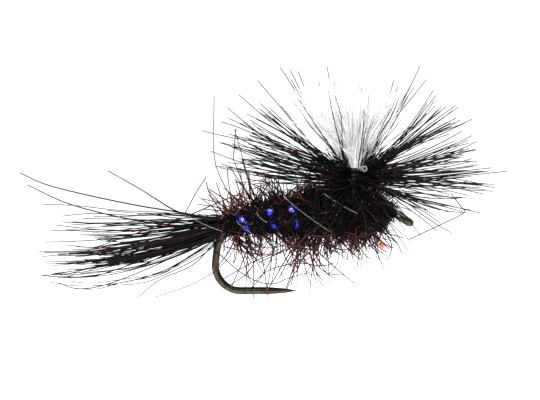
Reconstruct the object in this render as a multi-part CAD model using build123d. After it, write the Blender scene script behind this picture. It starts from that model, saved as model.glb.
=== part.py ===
from build123d import *
import math
import os
import random

# A parachute dry fly, tied on a barbless, down-eyed hook of size 12. Millimetres.
# The origin is the centre of the hook's eye. +X runs forwards along the shank, towards the eye,
# +Z is up and the hook lies in the XZ plane. "Ahead" is towards the eye, "behind" towards the tail.

# ---- driving dimensions: the hook
WIRE_R = 0.25
EYE_BORE_R = 0.40
EYE_TILT = 38.0             # the eye's angle below the shank, in degrees
EYE_RING_R = 0.60           # centreline of the ring; the bore trims it to a short straight land
EYE_WIRE_R = 0.22
NECK_R = 1.50               # bend between shank and eye
BEND_X = -10.78             # where the shank ends and the bend begins
BEND_ARCS = ((1.50, 60.0), (3.00, 18.0))    # the bend's first two arcs: radius, degrees
BEND_STRAIGHT = 0.76
BEND_LAST_R = 1.70
SPEAR_DROP = 6.0            # the spear opens away from the shank by this many degrees
SPEAR_FULL = 1.75           # length at the wire's full thickness
POINT_STEPS = ((0.17, 1.05), (0.015, 0.90))  # the point's two tapers: end radius, length

# ---- driving dimensions: thread and the layers on the shank
THREAD = 0.08               # thickness of the flattened tying thread
THREAD_PITCH = 0.20
SLIP = 0.01                 # gap between layers that are wound on each other
BASE_R = WIRE_R + THREAD
BUTT_R = BASE_R + 0.20      # outside of the fibre butts that are lashed to the shank

# ---- driving dimensions: tail, rib and dubbing
TAIL_TIE_X = (-10.75, -9.50)
TAIL_TIP_X = -23.3
TAIL_DROP = 1.15            # how far the tail's middle has dropped below the shank's axis at its tips
TAIL_ROWS = ((0.37, 14), (0.46, 18))        # rows of fibres round the shank: radius, count
TAIL_FIBRE_R = 0.045
ABDOMEN_X = (-11.20, -6.70)
ABDOMEN_Z = 0.95            # the abdomen's own axis, above the shank's because the butts lie on top
ABDOMEN_R = (0.85, 1.50)
RIB_X = (-10.85, -6.90)
RIB_PITCH = 1.70
RIB_WIDTH, RIB_THICK = 0.50, 0.04
THORAX_Z = 0.60
THORAX_PROFILE = ((-6.60, 1.50), (-5.60, 1.66), (-4.00, 1.80), (-2.40, 1.74), (-1.40, 1.25), (-0.98, 0.88))
THORAX_PART_X = -4.60       # ahead of this, no guard hair hangs straight down
THORAX_PART = 14.0          # half the angle of the parting, in degrees
HEAD_X = (-2.00, -1.45)       # the wraps on the straight shank
HEAD_ON_NECK = (0.06, 0.70)  # the wraps on the neck, from its rear end
HEAD_R = 0.44

# ---- driving dimensions: the wing post and the hackle
POST_X = -3.20              # where the post's axis meets the shank's
POST_LEAN = 8.0             # degrees ahead of square to the shank
POST_R = 0.42
COLLAR_R = POST_R + THREAD
POST_TOP = 3.20             # along the post's axis, from the shank's axis
WING_TOP = 7.60
WING_SPREAD = (3.10, 1.50)  # half widths of the wing's tips, along and across the fly
WING_BACK = 0.55            # how far the tips' middle leans behind the post's axis
WING_FIBRES = 34
HACKLE_TURNS = 4
HACKLE_FIRST = 1.92         # height of the first turn on the post
HACKLE_PITCH = 0.30
QUILL_R = (0.11, 0.08)      # first and last turn
BARBS_A_TURN = 26
BARB_LENGTH = 7.9
BARB_R = 0.045
BARB_RISE = (3.0, 46.0)     # degrees above the hackle's plane, first and last turn
STUB_R, STUB_BORE_R, STUB_LENGTH = 0.20, 0.08, 0.75

TIP_R = 0.012
SHANK_Z = EYE_RING_R * math.sin(math.radians(EYE_TILT)) + NECK_R * (1 - math.cos(math.radians(EYE_TILT)))
EYE_PLANE = Plane(
    origin=(0, 0, 0),
    x_dir=(0, 1, 0),
    z_dir=(math.sin(math.radians(EYE_TILT)), 0, math.cos(math.radians(EYE_TILT))),
)
POST_PLANE = Plane(
    origin=(POST_X, 0, SHANK_Z),
    x_dir=(math.cos(math.radians(POST_LEAN)), 0, -math.sin(math.radians(POST_LEAN))),
    z_dir=(math.sin(math.radians(POST_LEAN)), 0, math.cos(math.radians(POST_LEAN))),
)
dice = random.Random(12)


def write(name, *solids):
    """Writes one sub-part, which may be several separate solids."""
    shape = solids[0] if len(solids) == 1 else Compound(children=list(solids))
    export_step(shape, f"parts/{name}.step")


def along_x(x, z):
    """A plane square to the X axis, facing ahead, whose own x is +Z."""
    return Plane(origin=(x, 0, z), x_dir=(0, 0, 1), z_dir=(1, 0, 0))


def rod(x_range, radius, z=SHANK_Z):
    """A plain cylinder whose axis is parallel to X."""
    return Solid.make_cylinder(radius, x_range[1] - x_range[0], along_x(x_range[0], z))


def sleeve(x_range, r_in, r_out, z=SHANK_Z):
    """A plain tube whose axis is parallel to X."""
    return (rod(x_range, r_out, z) - rod(x_range, r_in, z)).solid()


def wound(plane, length, r_in, r_out):
    """A sleeve of thread turns, side by side, wound up the plane's normal from its origin."""
    turns = max(2, round(length / THREAD_PITCH))
    pitch = length / turns
    valley = r_out - 0.35 * (r_out - r_in)
    outline = [(r_in, 0), (valley, 0)]
    for n in range(turns):
        outline += [(r_out, (n + 0.5) * pitch), (valley, (n + 1) * pitch)]
    outline.append((r_in, length))
    profile = Plane.XZ * make_face(Polyline(*outline, close=True))
    return (plane * revolve(profile, Axis.Z)).solid()


def hair(root, tip, root_r, tip_r=TIP_R):
    """One straight fibre of square section that tapers to its tip."""
    run = Vector(*tip) - Vector(*root)
    narrowing = (root_r - tip_r) / math.sqrt(2)
    section = (Plane(origin=root, z_dir=run) * RegularPolygon(root_r, 4)).face()
    return Solid.extrude_taper(section, run, math.degrees(math.atan(narrowing / run.length)))


def on_post(across, side, height):
    """A point given in the post's own frame: ahead, to the left, and up the post."""
    return POST_PLANE.from_local_coords(Vector(across, side, height))


def hook():
    """The wire, bent in one plane: eye, neck, shank, bend, spear and a long barbless point."""
    tilt = math.radians(EYE_TILT)
    joint = (-EYE_RING_R * math.cos(tilt), EYE_RING_R * math.sin(tilt))
    route = [JernArc(joint, (-math.cos(tilt), math.sin(tilt)), NECK_R, EYE_TILT)]
    route.append(Line(route[-1] @ 1, (BEND_X, SHANK_Z)))
    for radius, turn in BEND_ARCS:
        route.append(JernArc(route[-1] @ 1, route[-1] % 1, radius, turn))
    route.append(Line(route[-1] @ 1, route[-1] @ 1 + (route[-1] % 1) * BEND_STRAIGHT))
    turned = sum(turn for _, turn in BEND_ARCS)
    route.append(JernArc(route[-1] @ 1, route[-1] % 1, BEND_LAST_R, 180.0 - SPEAR_DROP - turned))
    route.append(Line(route[-1] @ 1, route[-1] @ 1 + (route[-1] % 1) * SPEAR_FULL))
    path = (Plane.XZ * (Curve() + route)).wire()
    made = sweep(Plane(origin=path @ 0, z_dir=path % 0) * Circle(WIRE_R), path=path)
    start, way, radius = path @ 1, path % 1, WIRE_R
    for end_r, length in POINT_STEPS:
        made += Solid.make_cone(radius, end_r, length, Plane(origin=start, z_dir=way))
        start, radius = start + way * length, end_r
    made += EYE_PLANE * Torus(EYE_RING_R, EYE_WIRE_R)
    made -= EYE_PLANE * Cylinder(EYE_BORE_R, 4 * WIRE_R)
    return made.solid()


def neck_wraps(r_in, r_out):
    """A sleeve of thread on the neck's chord, which clears the curved wire inside it and the eye ahead."""
    tilt = math.radians(EYE_TILT)
    front = Vector(-EYE_RING_R * math.cos(tilt), 0, EYE_RING_R * math.sin(tilt))
    rear = Vector(front.X - NECK_R * math.sin(tilt), 0, SHANK_Z)
    way = (front - rear).normalized()
    rise = Vector(-way.Z, 0, way.X) * neck_bulge()
    start = rear + rise + way * HEAD_ON_NECK[0]
    return wound(Plane(origin=start, z_dir=way), HEAD_ON_NECK[1] - HEAD_ON_NECK[0], r_in, r_out)


def neck_bulge():
    """Half of how far the neck's wire stands off its own chord."""
    return NECK_R * (1 - math.cos(math.radians(EYE_TILT / 2))) / 2


def tail():
    """The tail fibres, lashed round the top and sides of the shank, fanning out behind."""
    butt = sleeve(TAIL_TIE_X, BASE_R + SLIP, BUTT_R)
    fibres = []
    for radius, count in TAIL_ROWS:
        for n in range(count):
            turn = math.radians(-28 + 236 * n / (count - 1))
            across, up = math.cos(turn), math.sin(turn)
            root = (TAIL_TIE_X[0] + 0.06, radius * across, SHANK_Z + radius * up)
            lift = dice.uniform(-0.5, 0.5)
            tip = (
                TAIL_TIP_X + dice.uniform(-1.2, 1.4),
                across * dice.uniform(1.2, 2.6),
                SHANK_Z - TAIL_DROP + 2.6 * up * dice.uniform(0.7, 1.0) + lift,
            )
            fibres.append(hair(root, tip, TAIL_FIBRE_R))
    return butt.fuse(*fibres).solid()


def rib():
    """Flat tinsel in open turns, lying on the abdomen's cone."""
    grow = (ABDOMEN_R[1] - ABDOMEN_R[0]) / (ABDOMEN_X[1] - ABDOMEN_X[0])
    start_r = ABDOMEN_R[0] + grow * (RIB_X[0] - ABDOMEN_X[0]) + SLIP + RIB_THICK / 2
    slope = math.degrees(math.atan(grow))
    helix = Helix(RIB_PITCH, RIB_X[1] - RIB_X[0], start_r, cone_angle=slope)
    section = Plane(origin=helix @ 0, x_dir=(1, 0, -grow), z_dir=helix % 0) * Rectangle(RIB_THICK, RIB_WIDTH)
    return (along_x(RIB_X[0], ABDOMEN_Z) * sweep(section, path=helix, is_frenet=True)).solid()


def abdomen():
    """The rear body: a cone of dubbing, hollow where it is wound over the shank's layers."""
    length = ABDOMEN_X[1] - ABDOMEN_X[0]
    body = Solid.make_cone(*ABDOMEN_R, length, along_x(ABDOMEN_X[0], ABDOMEN_Z))
    rear_bore = rod((ABDOMEN_X[0] - 1, TAIL_TIE_X[1] + 0.15), BUTT_R + THREAD + 2 * SLIP)
    front_bore = rod((ABDOMEN_X[0] - 1, ABDOMEN_X[1] + 1), BASE_R + THREAD + 2 * SLIP)
    return (body - rear_bore - front_bore).solid()


def thorax():
    """The front body behind and ahead of the post, as two lumps of dubbing that meet at the post."""
    top = Spline(*[(x, r) for x, r in THORAX_PROFILE])
    first, last = THORAX_PROFILE[0], THORAX_PROFILE[-1]
    corners = (last, (last[0], 0), (first[0], 0), first)
    sides = [Line(a, b) for a, b in zip(corners, corners[1:])]
    profile = make_face(Curve() + [top, *sides])
    body = Pos(0, 0, THORAX_Z) * revolve(profile, Axis.X)
    body -= rod((first[0] - 1, last[0] + 1), BUTT_R + THREAD + 2 * SLIP)
    body -= POST_PLANE * Pos(0, 0, 2) * Cylinder(COLLAR_R + THREAD + 2 * SLIP, 4)
    rear = body & Pos(POST_X - 5, 0, 0) * Box(10, 10, 10)
    front = body & Pos(POST_X + 5, 0, 0) * Box(10, 10, 10)
    return rear.solid(), front.solid()


def wing():
    """The yarn: a foot lashed along the shank, an upright post and the brush of fibres on top."""
    made = sleeve((-4.60, -2.05), BASE_R + SLIP, BUTT_R - 0.05)
    post = POST_PLANE * Pos(0, 0, POST_TOP / 2) * Cylinder(POST_R, POST_TOP)
    made += post - rod((-6, 0), BASE_R + SLIP)
    fibres = []
    for n in range(WING_FIBRES):
        share = math.sqrt((n + 0.5) / WING_FIBRES)
        turn = n * 2.39996
        ahead, side = share * math.cos(turn), share * math.sin(turn)
        root = on_post(0.85 * POST_R * ahead, 0.85 * POST_R * side, POST_TOP - 0.05)
        height = WING_TOP - 0.9 * share * share + dice.uniform(-0.3, 0.2)
        tip = on_post(WING_SPREAD[0] * ahead - WING_BACK, WING_SPREAD[1] * side, height)
        fibres.append(hair(tuple(root), tuple(tip), 0.05, 0.02))
    return made.solid().fuse(*fibres).solid()


def hackle_turn(number):
    """One turn of the hackle feather: its quill round the post's collar, and the barbs that grow from it."""
    share = number / (HACKLE_TURNS - 1)
    quill_r = QUILL_R[0] + (QUILL_R[1] - QUILL_R[0]) * share
    ring_r = COLLAR_R + SLIP + quill_r
    height = HACKLE_FIRST + number * HACKLE_PITCH
    quill = POST_PLANE * Pos(0, 0, height) * Torus(ring_r, quill_r)
    rise = BARB_RISE[0] + (BARB_RISE[1] - BARB_RISE[0]) * share
    barbs = []
    for n in range(BARBS_A_TURN):
        turn = math.radians(360 * (n + 0.5 * (number % 2)) / BARBS_A_TURN)
        up = math.radians(rise + dice.uniform(-5, 5))
        reach = BARB_LENGTH * dice.uniform(0.88, 1.04)
        out = ring_r + reach * math.cos(up)
        root = on_post(ring_r * math.cos(turn), ring_r * math.sin(turn), height)
        tip = on_post(out * math.cos(turn), out * math.sin(turn), height + reach * math.sin(up))
        barbs.append(hair(tuple(root), tuple(tip), BARB_R))
    return quill.solid().fuse(*barbs).solid()


def hackle_stub():
    """The feather's cut stem, a short hollow tube that ends beside the top turn."""
    start = on_post(0.30, -(COLLAR_R + 0.24), 3.16)
    way = Vector(0.45, -1.0, 0.10).normalized()
    half = STUB_LENGTH / 2
    tube = Solid.make_cylinder(STUB_R, STUB_LENGTH, Plane(origin=start, z_dir=way))
    bore = Solid.make_cylinder(STUB_BORE_R, half, Plane(origin=start + way * half, z_dir=way))
    return (tube - bore).solid()


def abdomen_hairs():
    """Guard hairs that stand out of the abdomen, all round it."""
    hairs = []
    for n in range(44):
        x = ABDOMEN_X[0] + 0.35 + 3.9 * (n + 0.5) / 44
        share = (x - ABDOMEN_X[0]) / (ABDOMEN_X[1] - ABDOMEN_X[0])
        body_r = ABDOMEN_R[0] + (ABDOMEN_R[1] - ABDOMEN_R[0]) * share
        turn = n * 2.39996
        root_r = body_r + 0.10
        tip_r = root_r + dice.uniform(0.8, 2.2)
        lean = dice.uniform(-0.9, 0.5)
        root = (x, root_r * math.cos(turn), ABDOMEN_Z + root_r * math.sin(turn))
        tip = (x + lean, tip_r * math.cos(turn + 0.2), ABDOMEN_Z + tip_r * math.sin(turn + 0.2))
        hairs.append(hair(root, tip, 0.04))
    return hairs


def thorax_hairs():
    """Guard hairs picked out of the thorax. They part below the head, on the eye's line of approach."""
    hairs = []
    for n in range(64):
        x = -6.3 + 4.9 * (n + 0.5) / 64
        off = 76 * math.sin(2.4 * n) + 14 * math.cos(5.3 * n)
        if x > THORAX_PART_X and abs(off) < THORAX_PART:
            off = math.copysign(THORAX_PART + abs(off) / 2, off)
        turn = math.radians(-90 + off)
        root_r = 1.88 if x < -2.3 else 1.88 - 0.50 * (x + 2.3)
        tip_r = root_r + dice.uniform(0.8, 2.0)
        lean = dice.uniform(-0.9, 0.3)
        root = (x, root_r * math.cos(turn), THORAX_Z + root_r * math.sin(turn))
        tip = (x + lean, tip_r * math.cos(turn), THORAX_Z + tip_r * math.sin(turn))
        hairs.append(hair(root, tip, 0.04))
    return hairs


def strands():
    """Loose pearl strands that lie across the near side of the body."""
    runs = (
        ((-14.0, -0.62, 1.62), (-11.4, -1.18, 0.30)),
        ((-7.60, -1.95, 2.15), (-5.20, -1.95, -0.35)),
        ((-4.70, -2.00, 2.00), (-3.20, -2.10, 0.75)),
        ((-10.9, -1.40, 1.10), (-10.0, -1.40, 0.20)),
    )
    return [hair(a, b, 0.03, 0.025) for a, b in runs]


def red_fleck():
    """A few short red fibres under the front of the thorax."""
    root = (-1.62, -0.75, -0.72)
    tips = ((-1.25, -0.95, -2.20), (-1.45, -1.25, -2.28), (-1.05, -0.70, -2.05))
    return [hair((root[0] + 0.14 * n, root[1], root[2] - 0.02 * n), tip, 0.04) for n, tip in enumerate(tips)]


def main():
    os.makedirs("parts", exist_ok=True)
    base_x = (BEND_X + 0.15, HEAD_X[1])
    write("hook", hook())
    write("thread_base", wound(along_x(base_x[0], SHANK_Z), base_x[1] - base_x[0], WIRE_R, BASE_R))
    write("tail_fibres", tail())
    write("tail_lashing", wound(along_x(-10.60, SHANK_Z), 1.0, BUTT_R + SLIP, BUTT_R + THREAD))
    write("rib_tinsel", rib())
    write("rib_lashing", wound(along_x(-9.20, SHANK_Z), 0.5, BASE_R + SLIP, BASE_R + THREAD))
    write("abdomen_dubbing", abdomen())
    write("abdomen_guard_hairs", *abdomen_hairs())
    rear, front = thorax()
    write("thorax_dubbing_rear", rear)
    write("thorax_dubbing_front", front)
    write("thorax_guard_hairs", *thorax_hairs())
    write("wing_yarn", wing())
    foot_r = (BUTT_R - 0.05 + SLIP, BUTT_R + THREAD - 0.04)
    rear_bind = wound(along_x(-4.55, SHANK_Z), 0.64, *foot_r)
    front_bind = wound(along_x(-2.56, SHANK_Z), 0.48, *foot_r)
    write("wing_lashing", rear_bind, front_bind)
    collar_plane = Plane(origin=on_post(0, 0, 0.80), z_dir=POST_PLANE.z_dir)
    write("post_collar", wound(collar_plane, 2.24, POST_R + SLIP, COLLAR_R))
    for number in range(HACKLE_TURNS):
        write(f"hackle_turn_{number + 1}", hackle_turn(number))
    write("hackle_stem_stub", hackle_stub())
    tie_plane = Plane(origin=on_post(0, 0, 1.50), z_dir=POST_PLANE.z_dir)
    write("hackle_tie_off", wound(tie_plane, 0.30, COLLAR_R + SLIP, COLLAR_R + THREAD))
    shank_wraps = wound(along_x(HEAD_X[0] + 0.05, SHANK_Z), 0.48, BASE_R + SLIP, BASE_R + 0.10)
    write("head_wraps", shank_wraps, neck_wraps(WIRE_R + neck_bulge() + SLIP, HEAD_R))
    write("head_varnish", neck_wraps(HEAD_R + SLIP, HEAD_R + 0.05))
    write("pearl_strands", *strands())
    write("red_fleck_fibres", *red_fleck())


main()
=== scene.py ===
"""A parachute dry fly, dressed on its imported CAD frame: hook, tail, ribbed fur body, wing and hackle."""

import logging
import math
from collections.abc import Iterable, Iterator
from contextlib import contextmanager
from dataclasses import dataclass, field
from enum import Enum

import bpy
import numpy as np
from mathutils import Matrix, Vector


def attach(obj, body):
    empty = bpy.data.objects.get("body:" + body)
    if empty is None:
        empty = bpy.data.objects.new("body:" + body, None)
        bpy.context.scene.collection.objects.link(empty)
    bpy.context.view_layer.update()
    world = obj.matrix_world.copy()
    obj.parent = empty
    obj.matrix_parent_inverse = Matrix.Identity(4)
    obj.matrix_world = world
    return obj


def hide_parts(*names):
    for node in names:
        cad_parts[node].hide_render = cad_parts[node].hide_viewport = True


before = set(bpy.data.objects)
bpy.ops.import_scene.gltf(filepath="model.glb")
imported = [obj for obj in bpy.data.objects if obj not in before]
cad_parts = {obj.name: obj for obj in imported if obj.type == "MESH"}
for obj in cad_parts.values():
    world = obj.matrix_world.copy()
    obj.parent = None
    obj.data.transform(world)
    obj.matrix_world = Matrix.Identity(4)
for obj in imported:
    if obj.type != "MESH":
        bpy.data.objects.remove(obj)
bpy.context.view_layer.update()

MM = 0.001
BODY = "root"
FULL_TURN = 2 * math.pi
Array = np.ndarray
Dice = np.random.Generator
Socket = bpy.types.NodeSocket
Material = bpy.types.Material
Piece = bpy.types.Object
log = logging.getLogger("dry_fly")

# The frame's own dimensions, in millimetres, as the CAD has them.
WIRE_R = 0.25
EYE_TILT = math.radians(38.0)
EYE_BORE_R = 0.40
NECK_START = 0.60       # from the bore's centre to the wire's first bend
NECK_R = 1.50
BEND_X = -10.78
SHANK_Z = NECK_START * math.sin(EYE_TILT) + NECK_R * (1 - math.cos(EYE_TILT))
POST_X = -3.20
POST_LEAN = math.radians(8.0)
COLLAR_R = 0.50
HACKLE_FIRST = 1.92
HACKLE_PITCH = 0.30

POST_ALONG = np.array((math.cos(POST_LEAN), 0.0, -math.sin(POST_LEAN)))
POST_ACROSS = np.array((0.0, 1.0, 0.0))
POST_UP = np.array((math.sin(POST_LEAN), 0.0, math.cos(POST_LEAN)))
POST_FOOT = np.array((POST_X, 0.0, SHANK_Z))


def on_post(along: float, across: float, up: float) -> Array:
    """Return the fly's point at millimetres ahead of the post's axis, to its far side and up along it."""
    return POST_FOOT + along * POST_ALONG + across * POST_ACROSS + up * POST_UP


# ---------------------------------------------------------------- materials


class Reads(Enum):
    """The two facts that every fibre's mesh carries at each vertex."""

    ALONG = "along"
    SHADE = "shade"


class Nodes:
    """A short way to write a material's node tree."""

    MIX_INPUTS = (0, 6, 7)      # share, first and second colour of a colour mix
    MIX_RESULT = 2

    def __init__(self, name: str) -> None:
        """Start an empty tree that ends in one Principled shader.

        Args:
            name: The material's name.
        """
        self.material = bpy.data.materials.new(name)
        self.material.use_nodes = True
        self.tree = self.material.node_tree
        self.tree.nodes.clear()
        self.shader = self.add("BsdfPrincipled")
        self.add("OutputMaterial", Surface=self.shader.outputs[0])

    def plug(self, socket: Socket, value: object) -> None:
        """Link or set one input.

        Args:
            socket: The input.
            value: Another node's output socket, or a constant; a colour is (r, g, b).
        """
        if isinstance(value, Socket):
            self.tree.links.new(value, socket)
        elif socket.type == "RGBA":
            socket.default_value = (*value, 1.0)
        else:
            socket.default_value = value

    def add(self, kind: str, **inputs: object) -> bpy.types.Node:
        """Add a node and fill its inputs.

        Args:
            kind: The node's class name, without its ShaderNode prefix.
            **inputs: Input names, with _ for a space, to a constant or to another node's socket.

        Returns:
            The new node.
        """
        node = self.tree.nodes.new("ShaderNode" + kind)
        self.fill(node, inputs)
        return node

    def fill(self, node: bpy.types.Node, inputs: dict) -> None:
        """Fill a node's inputs; their names are as for add."""
        for key, value in inputs.items():
            self.plug(node.inputs[key.replace("_", " ")], value)

    def set(self, **inputs: object) -> None:
        """Fill the Principled shader's inputs; their names are as for add."""
        self.fill(self.shader, inputs)

    def attribute(self, name: Reads) -> Socket:
        """Read one of the mesh's own vertex facts.

        Args:
            name: Which fact.

        Returns:
            The fact's value socket.
        """
        node = self.add("Attribute")
        node.attribute_name = name.value
        return node.outputs["Fac"]

    def noise(self, per_mm: float, detail: float = 3.0, stretch: tuple = (1, 1, 1)) -> Socket:
        """Return noise on the object's own coordinates.

        Args:
            per_mm: Waves in a millimetre.
            detail: Octaves of the noise.
            stretch: Scale of the three axes.

        Returns:
            The noise's value socket.
        """
        coord = self.add("TexCoord").outputs["Object"]
        place = self.add("Mapping", Vector=coord, Scale=stretch).outputs[0]
        return self.add("TexNoise", Vector=place, Scale=per_mm / MM, Detail=detail).outputs["Fac"]

    def ramp(self, value: Socket, stops: tuple, steps: bool = False) -> Socket:
        """Return a colour picked from stops.

        Args:
            value: The socket that picks.
            stops: Pairs of a position and an (r, g, b) colour.
            steps: True for flat steps in place of blends.

        Returns:
            The ramp's colour socket.
        """
        node = self.add("ValToRGB", Fac=value)
        node.color_ramp.interpolation = "CONSTANT" if steps else "LINEAR"
        while len(node.color_ramp.elements) < len(stops):
            node.color_ramp.elements.new(1.0)
        for element, (place, colour) in zip(node.color_ramp.elements, stops):
            element.position = place
            element.color = (*colour, 1.0)
        return node.outputs["Color"]

    def calc(self, operation: str, first: object, second: object) -> Socket:
        """Join two values by a math operation.

        Args:
            operation: Blender's name for it.
            first: A number or a socket.
            second: The same.

        Returns:
            The result's socket.
        """
        node = self.add("Math")
        node.operation = operation
        self.plug(node.inputs[0], first)
        self.plug(node.inputs[1], second)
        return node.outputs[0]

    def mix(self, share: object, first: object, second: object, blend: str = "MIX") -> Socket:
        """Return a mix of two colours.

        Args:
            share: How much of the second, a number or a socket.
            first: A colour, (r, g, b) or a socket.
            second: The other colour.
            blend: Blender's blend type.

        Returns:
            The mixed colour's socket.
        """
        node = self.add("Mix")
        node.data_type = "RGBA"
        node.blend_type = blend
        for index, value in zip(self.MIX_INPUTS, (share, first, second)):
            self.plug(node.inputs[index], value)
        return node.outputs[self.MIX_RESULT]

    def bump(self, height: Socket, depth_mm: float, strength: float) -> None:
        """Give the shader a bump from a socket between 0 and 1, where 1 is depth_mm high."""
        node = self.add("Bump", Height=height, Distance=depth_mm * MM, Strength=strength)
        self.set(Normal=node.outputs[0])


@dataclass(frozen=True)
class FibreFinish:
    """Hair, barb or yarn: each fibre has its own shade, and it changes from root to tip."""

    name: str
    slot: str       # of the record
    shades: tuple
    tip: tuple
    tip_share: float = 0.5
    fade: float = 2.5       # above 1 keeps the tip's colour near the tip
    roughness: float = 0.38
    gloss: float = 0.07
    painted_glow: float = 0.0       # painted light: emission that makes white fibres glow
    # painted highlight: where a noise peaks, the fibre's colour is mixed towards this pale colour; the next
    # three fields shape these specks
    painted_glint: tuple = (0.0, 0.0, 0.0)
    painted_glint_above: float = 0.66       # the noise above which the fibre takes the painted highlight
    painted_glint_edge: float = 0.06
    painted_glints_a_mm: float = 5.0
    patches_a_mm: float = 1.6
    patches: tuple = ((0.3, (0.7, 0.7, 0.7)), (0.7, (1.0, 1.0, 1.0)))

    def material(self) -> Material:
        """Build the finish's node tree.

        Returns:
            The material.
        """
        nodes = Nodes(self.name)
        own = nodes.ramp(nodes.attribute(Reads.SHADE), self.shades, True)
        faded = nodes.calc("POWER", nodes.attribute(Reads.ALONG), self.fade)
        colour = nodes.mix(nodes.calc("MULTIPLY", faded, self.tip_share), own, self.tip)
        patches = nodes.ramp(nodes.noise(self.patches_a_mm), self.patches)
        colour = nodes.mix(1.0, colour, patches, "MULTIPLY")
        base = colour
        # painted highlight: pale specks where the noise peaks, standing in for glints of light on the fibre
        if any(self.painted_glint):
            edge = ((self.painted_glint_above, (0, 0, 0)), (self.painted_glint_above + self.painted_glint_edge, (1, 1, 1)))
            base = nodes.mix(nodes.ramp(nodes.noise(self.painted_glints_a_mm, 1.0), edge), colour, self.painted_glint)
        # the emission is painted light, for the fibres that glow
        nodes.set(
            Base_Color=base, Roughness=self.roughness, Specular_IOR_Level=self.gloss,
            Emission_Color=colour, Emission_Strength=self.painted_glow,
        )
        return nodes.material


BLACK = (0.0022, 0.0020, 0.0024)
BROWN_BLACK = (0.0060, 0.0032, 0.0030)
GREEN_BLACK = (0.0030, 0.0048, 0.0042)
CLARET_BLACK = (0.011, 0.0042, 0.0040)
DEEP_CLARET = (0.018, 0.0048, 0.0048)


class Finish(Enum):
    """Every fibre finish on the fly."""

    HACKLE = FibreFinish(
        "black_cock_hackle",
        "black_hackle",
        ((0.0, BLACK), (0.42, GREEN_BLACK), (0.72, BROWN_BLACK), (0.88, CLARET_BLACK)),
        tip=(0.016, 0.010, 0.010),
        # painted highlight: pale specks along the barbs
        painted_glint=(0.14, 0.16, 0.16),
        painted_glint_above=0.70,
    )
    TAIL = FibreFinish(
        "black_tail_hair",
        "black_hair",
        ((0.0, BLACK), (0.55, GREEN_BLACK), (0.82, BROWN_BLACK), (0.95, DEEP_CLARET)),
        tip=(0.016, 0.013, 0.013),
        # painted highlight: pale specks along the hairs
        painted_glint=(0.10, 0.11, 0.11),
        painted_glint_above=0.72,
    )
    FUR = FibreFinish(
        "black_and_claret_fur",
        "black_dubbing",
        ((0.0, BLACK), (0.72, BROWN_BLACK), (0.95, DEEP_CLARET)),
        tip=(0.0070, 0.0032, 0.0032),
        roughness=0.45,
        # painted highlight: pale specks in the fur
        painted_glint=(0.10, 0.10, 0.11),
        painted_glint_above=0.72,
    )
    GUARD = FibreFinish(
        "claret_guard_hair",
        "claret_hair",
        # the hairs run from dark roots to claret tips; the darkness at the root is painted shade, where the
        # hair comes out of the fur
        ((0.0, BLACK), (0.35, BROWN_BLACK), (0.80, DEEP_CLARET)),
        tip=(0.095, 0.026, 0.024),
        tip_share=0.9,
        fade=1.1,
        roughness=0.34,
    )
    WING = FibreFinish(
        "white_wing_yarn",
        "white_yarn",
        ((0.0, (0.88, 0.87, 0.84)), (0.5, (0.91, 0.90, 0.88)), (0.8, (0.78, 0.77, 0.74))),
        tip=(0.90, 0.90, 0.90),
        tip_share=0.8,
        roughness=0.7,
        gloss=0.1,
        # painted light: a faint glow on the white yarn
        painted_glow=0.035,
    )
    RED = FibreFinish(
        "red_floss",
        "red_fibre",
        ((0.0, (0.62, 0.05, 0.02)), (0.5, (0.80, 0.14, 0.05))),
        tip=(0.85, 0.30, 0.22),
        roughness=0.55,
    )


def bronzed_steel() -> Material:
    """Make bronzed, tempered steel wire, with a grain drawn out along it.

    Returns:
        The material.
    """
    nodes = Nodes("bronzed_steel")
    browns = ((0.3, (0.032, 0.028, 0.020)), (0.75, (0.082, 0.072, 0.054)))
    colour = nodes.ramp(nodes.noise(3.0, 4.0), browns)
    nodes.set(Base_Color=colour, Metallic=1.0, Roughness=0.20, Specular_Tint=(0.52, 0.50, 0.46))
    nodes.bump(nodes.noise(9.0, 2.0, (0.2, 1, 1)), 0.003, 0.15)
    return nodes.material


def waxed_thread() -> Material:
    """Make waxed black tying thread, with the fine twist of its strands.

    Returns:
        The material.
    """
    nodes = Nodes("waxed_black_thread")
    colour = nodes.ramp(nodes.noise(9.0), ((0.35, BLACK), (0.7, (0.022, 0.018, 0.020))))
    nodes.set(Base_Color=colour, Roughness=0.42, Specular_IOR_Level=0.2)
    nodes.bump(nodes.noise(22.0, 2.0), 0.01, 0.6)
    return nodes.material


def blue_tinsel() -> Material:
    """Make blue holographic film: small facets, each with its own blue, the palest lavender ones painted
    glints; the film glows a little, which is painted light.

    Returns:
        The material.
    """
    nodes = Nodes("blue_holographic_tinsel")
    facets_a_mm = 3.2
    # the last, lavender stop is a painted glint on a few facets
    blues_with_painted_glint = (
        (0.0, (0.008, 0.010, 0.16)), (0.30, (0.020, 0.032, 0.62)), (0.72, (0.05, 0.06, 0.90)),
        (0.90, (0.34, 0.32, 0.92)),
    )
    coord = nodes.add("TexCoord").outputs["Object"]
    cells = nodes.add("TexVoronoi", Vector=coord, Scale=facets_a_mm / MM)
    split = nodes.add("SeparateColor", Color=cells.outputs["Color"])
    colour = nodes.ramp(split.outputs[0], blues_with_painted_glint, True)
    # the emission is painted light: the blue glows a little
    nodes.set(
        Base_Color=colour, Metallic=0.6, Roughness=0.35, Coat_Weight=0.15, Coat_Roughness=0.2,
        Emission_Color=colour, Emission_Strength=0.35,
    )
    nodes.bump(split.outputs[1], 0.02, 0.3)
    return nodes.material


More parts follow.
